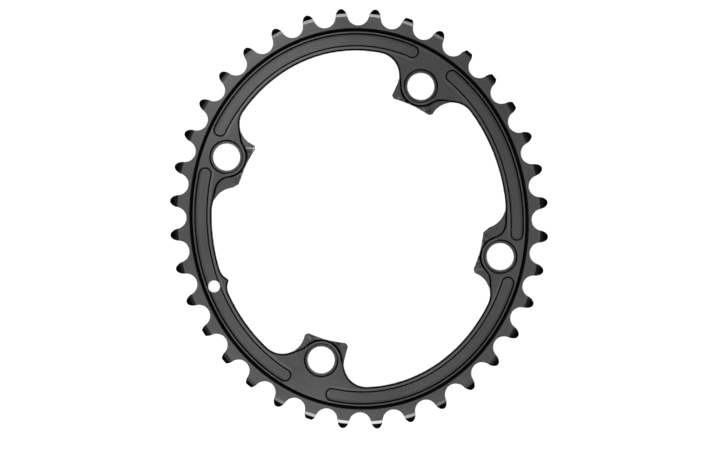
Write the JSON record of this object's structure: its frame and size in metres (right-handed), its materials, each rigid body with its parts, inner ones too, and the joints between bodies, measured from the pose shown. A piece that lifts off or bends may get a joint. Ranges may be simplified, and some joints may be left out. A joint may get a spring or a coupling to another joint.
{
  "type": "bicycle chainring",
  "caption": "Thin oval chainring with bevelled teeth, a milled body band, and bolt bosses on pads that seat on the arms of a crank spider.",
  "frame": {"origin": "on the crank axis, in the plane of the face that seats on the spider and that the ring lies on", "axes": "+Z along the crank axis, out of the milled face; +Y along the crank arm, through the pin hole and the tab; +X completes the right hand, nearest to the oval's long axis"},
  "size_m": [0.1566, 0.1444, 0.0036],
  "materials": {
    "black_anodised": "black anodised, satin"
  },
  "bodies": {
    "root": {"chainring": "black_anodised"}
  },
  "joints": []
}
